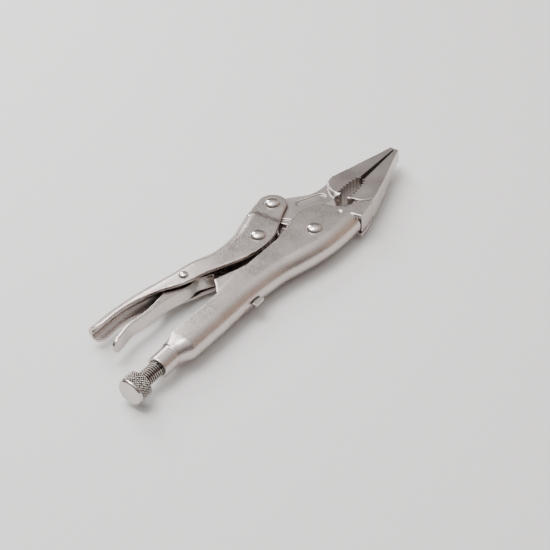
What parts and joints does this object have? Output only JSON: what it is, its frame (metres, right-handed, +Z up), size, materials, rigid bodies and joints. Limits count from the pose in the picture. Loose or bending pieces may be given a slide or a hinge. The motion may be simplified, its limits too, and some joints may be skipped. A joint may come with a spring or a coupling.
{
  "type": "locking pliers",
  "caption": "Long-nose locking pliers: pressed-steel handles, forged toothed jaws, toggle link, release lever and knurled adjusting screw.",
  "frame": {"origin": "bottom centre of the closed tool's box, on the surface it lies on", "axes": "+X along the adjusting screw towards the jaw tips, +Y from the fixed handle towards the movable handle, +Z up through the cheeks"},
  "size_m": [0.2244, 0.0668, 0.0192],
  "materials": {
    "pressed_steel": "satin nickel plate",
    "forged_steel": "satin nickel plate over a blasted forging",
    "polished_steel": "bright nickel plate",
    "spring_wire": "bright drawn wire"
  },
  "bodies": {
    "fixed_body": {"fixed_handle": "pressed_steel", "fixed_jaw": "forged_steel", "spring_anchor": "pressed_steel", "main_pivot_rivet": "polished_steel", "tension_spring": "spring_wire"},
    "jaw": {"movable_jaw": "forged_steel", "jaw_link_rivet": "polished_steel"},
    "handle": {"movable_handle": "pressed_steel", "toggle_rivet": "polished_steel", "lever_rivet": "polished_steel"},
    "link": {"toggle_link": "pressed_steel"},
    "lever": {"release_lever": "polished_steel"},
    "screw": {"adjusting_screw": "polished_steel"}
  },
  "joints": [
    {"name": "jaw_pivot", "type": "hinge", "parent": "fixed_body", "child": "jaw", "pos_m": [0.0267, -0.01789, 0.00958], "axis": [0, 0, 1], "range_deg": [0, 30], "deforming": ["tension_spring"]},
    {"name": "handle_pivot", "type": "hinge", "parent": "jaw", "child": "handle", "pos_m": [0.0325, 0.01291, 0.00958], "axis": [0, 0, 1], "range_deg": [-80, 0]},
    {"name": "toggle_pivot", "type": "hinge", "parent": "handle", "child": "link", "pos_m": [0.0062, 0.00271, 0.00958], "axis": [0, 0, 1], "range_deg": [0, 89]},
    {"name": "lever_pivot", "type": "hinge", "parent": "handle", "child": "lever", "pos_m": [-0.0385, 0.01541, 0.00958], "axis": [0, 0, 1], "range_deg": [-8, 8]},
    {"name": "screw_travel", "type": "slide", "parent": "fixed_body", "child": "screw", "axis": [1, 0, 0], "range_m": [-0.012, 0]}
  ],
  "couplings": [
    {"joint": "handle_pivot", "follows": "jaw_pivot", "ratio": -2.65},
    {"joint": "toggle_pivot", "follows": "jaw_pivot", "ratio": 2.95}
  ]
}
